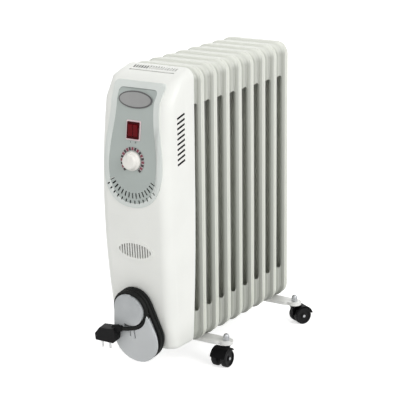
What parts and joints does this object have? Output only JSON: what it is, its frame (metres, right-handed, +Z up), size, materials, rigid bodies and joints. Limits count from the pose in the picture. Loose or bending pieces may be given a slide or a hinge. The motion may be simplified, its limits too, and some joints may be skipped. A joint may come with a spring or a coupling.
{
  "type": "oil filled radiator heater",
  "caption": "Oil filled radiator heater: pressed steel fins on oil hubs, a bowed control housing with switches, thermostat knob and cord winder, on twin-wheel casters.",
  "frame": {"origin": "on the floor, under the middle of the heater's box measured without its free cord and plug", "axes": "+Z up; the control housing faces -Y and the fins stack along +Y; +X is the right-hand side seen from the controls"},
  "size_m": [0.3034, 0.5239, 0.6333],
  "materials": {
    "fin_paint": "gloss",
    "white_paint": "gloss",
    "steel": "satin",
    "case_plastic": "satin",
    "panel_plastic": "satin",
    "badge_grey": "satin",
    "bezel_plastic": "satin",
    "switch_red": "gloss",
    "rocker_red": "gloss",
    "dial_print": "matte",
    "knob_plastic": "gloss",
    "ceramic": "matte",
    "black_plastic": "satin",
    "winder_plastic": "satin",
    "cord_rubber": "satin",
    "pin_metal": "polished",
    "caster_black": "satin"
  },
  "bodies": {
    "radiator": {"fin_1": "fin_paint", "fin_2": "fin_paint", "fin_3": "fin_paint", "fin_4": "fin_paint", "fin_5": "fin_paint", "fin_6": "fin_paint", "fin_7": "fin_paint", "fin_8": "fin_paint", "front_hub_cap": "steel", "hub_nut": "steel", "heater_element": "steel", "back_plate": "white_paint", "front_cover": "case_plastic", "cover_screws": "steel", "control_panel": "panel_plastic", "badge_oval": "badge_grey", "vent_grille": "case_plastic", "switch_bezel": "bezel_plastic", "switch_body": "switch_red", "dial_ring": "dial_print", "thermostat": "ceramic", "terminal_block": "ceramic", "thermal_cutout": "black_plastic", "winder_base": "winder_plastic", "winder_plate": "winder_plastic", "cord_gland": "black_plastic", "cord_lead": "cord_rubber", "cord_wrap": "cord_rubber", "cord_tail": "cord_rubber", "plug_body": "black_plastic", "plug_pins": "pin_metal", "front_foot": "white_paint", "rear_foot": "white_paint", "u_bolts": "steel", "wing_nuts": "steel", "dome_nuts": "steel", "caster_stems": "steel"},
    "knob": {"knob": "knob_plastic", "thermostat_shaft": "steel"},
    "rocker_left": {"rocker_left": "rocker_red"},
    "rocker_right": {"rocker_right": "rocker_red"},
    "caster_1": {"caster_hood_1": "caster_black", "caster_axle_1": "steel"},
    "caster_2": {"caster_hood_2": "caster_black", "caster_axle_2": "steel"},
    "caster_3": {"caster_hood_3": "caster_black", "caster_axle_3": "steel"},
    "caster_4": {"caster_hood_4": "caster_black", "caster_axle_4": "steel"},
    "wheel_1a": {"caster_wheel_1a": "caster_black"},
    "wheel_1b": {"caster_wheel_1b": "caster_black"},
    "wheel_2a": {"caster_wheel_2a": "caster_black"},
    "wheel_2b": {"caster_wheel_2b": "caster_black"},
    "wheel_3a": {"caster_wheel_3a": "caster_black"},
    "wheel_3b": {"caster_wheel_3b": "caster_black"},
    "wheel_4a": {"caster_wheel_4a": "caster_black"},
    "wheel_4b": {"caster_wheel_4b": "caster_black"}
  },
  "joints": [
    {"name": "thermostat_turn", "type": "hinge", "parent": "radiator", "child": "knob", "pos_m": [0, -0.22885, 0.456], "axis": [0, -0.9974, 0.0718], "range_deg": [-135, 135]},
    {"name": "rocker_left_tilt", "type": "hinge", "parent": "radiator", "child": "rocker_left", "pos_m": [-0.006, -0.22354, 0.5171], "axis": [1, 0, 0], "range_deg": [-14, 0]},
    {"name": "rocker_right_tilt", "type": "hinge", "parent": "radiator", "child": "rocker_right", "pos_m": [0.006, -0.22354, 0.5171], "axis": [1, 0, 0], "range_deg": [-14, 0]},
    {"name": "caster_swivel_1", "type": "hinge", "parent": "radiator", "child": "caster_1", "pos_m": [-0.1175, -0.07369, 0.035], "axis": [0, 0, 1], "continuous": true},
    {"name": "caster_swivel_2", "type": "hinge", "parent": "radiator", "child": "caster_2", "pos_m": [0.1175, -0.07369, 0.035], "axis": [0, 0, 1], "continuous": true},
    {"name": "caster_swivel_3", "type": "hinge", "parent": "radiator", "child": "caster_3", "pos_m": [-0.1175, 0.21431, 0.035], "axis": [0, 0, 1], "continuous": true},
    {"name": "caster_swivel_4", "type": "hinge", "parent": "radiator", "child": "caster_4", "pos_m": [0.1175, 0.21431, 0.035], "axis": [0, 0, 1], "continuous": true},
    {"name": "wheel_spin_1a", "type": "hinge", "parent": "caster_1", "child": "wheel_1a", "pos_m": [-0.1175, -0.08869, 0.019], "axis": [1, 0, 0], "continuous": true},
    {"name": "wheel_spin_1b", "type": "hinge", "parent": "caster_1", "child": "wheel_1b", "pos_m": [-0.1175, -0.08869, 0.019], "axis": [1, 0, 0], "continuous": true},
    {"name": "wheel_spin_2a", "type": "hinge", "parent": "caster_2", "child": "wheel_2a", "pos_m": [0.1175, -0.08869, 0.019], "axis": [1, 0, 0], "continuous": true},
    {"name": "wheel_spin_2b", "type": "hinge", "parent": "caster_2", "child": "wheel_2b", "pos_m": [0.1175, -0.08869, 0.019], "axis": [1, 0, 0], "continuous": true},
    {"name": "wheel_spin_3a", "type": "hinge", "parent": "caster_3", "child": "wheel_3a", "pos_m": [-0.125, 0.2273, 0.019], "axis": [-0.866, -0.5, 0], "continuous": true},
    {"name": "wheel_spin_3b", "type": "hinge", "parent": "caster_3", "child": "wheel_3b", "pos_m": [-0.125, 0.2273, 0.019], "axis": [-0.866, -0.5, 0], "continuous": true},
    {"name": "wheel_spin_4a", "type": "hinge", "parent": "caster_4", "child": "wheel_4a", "pos_m": [0.125, 0.2273, 0.019], "axis": [-0.866, 0.5, 0], "continuous": true},
    {"name": "wheel_spin_4b", "type": "hinge", "parent": "caster_4", "child": "wheel_4b", "pos_m": [0.125, 0.2273, 0.019], "axis": [-0.866, 0.5, 0], "continuous": true}
  ]
}
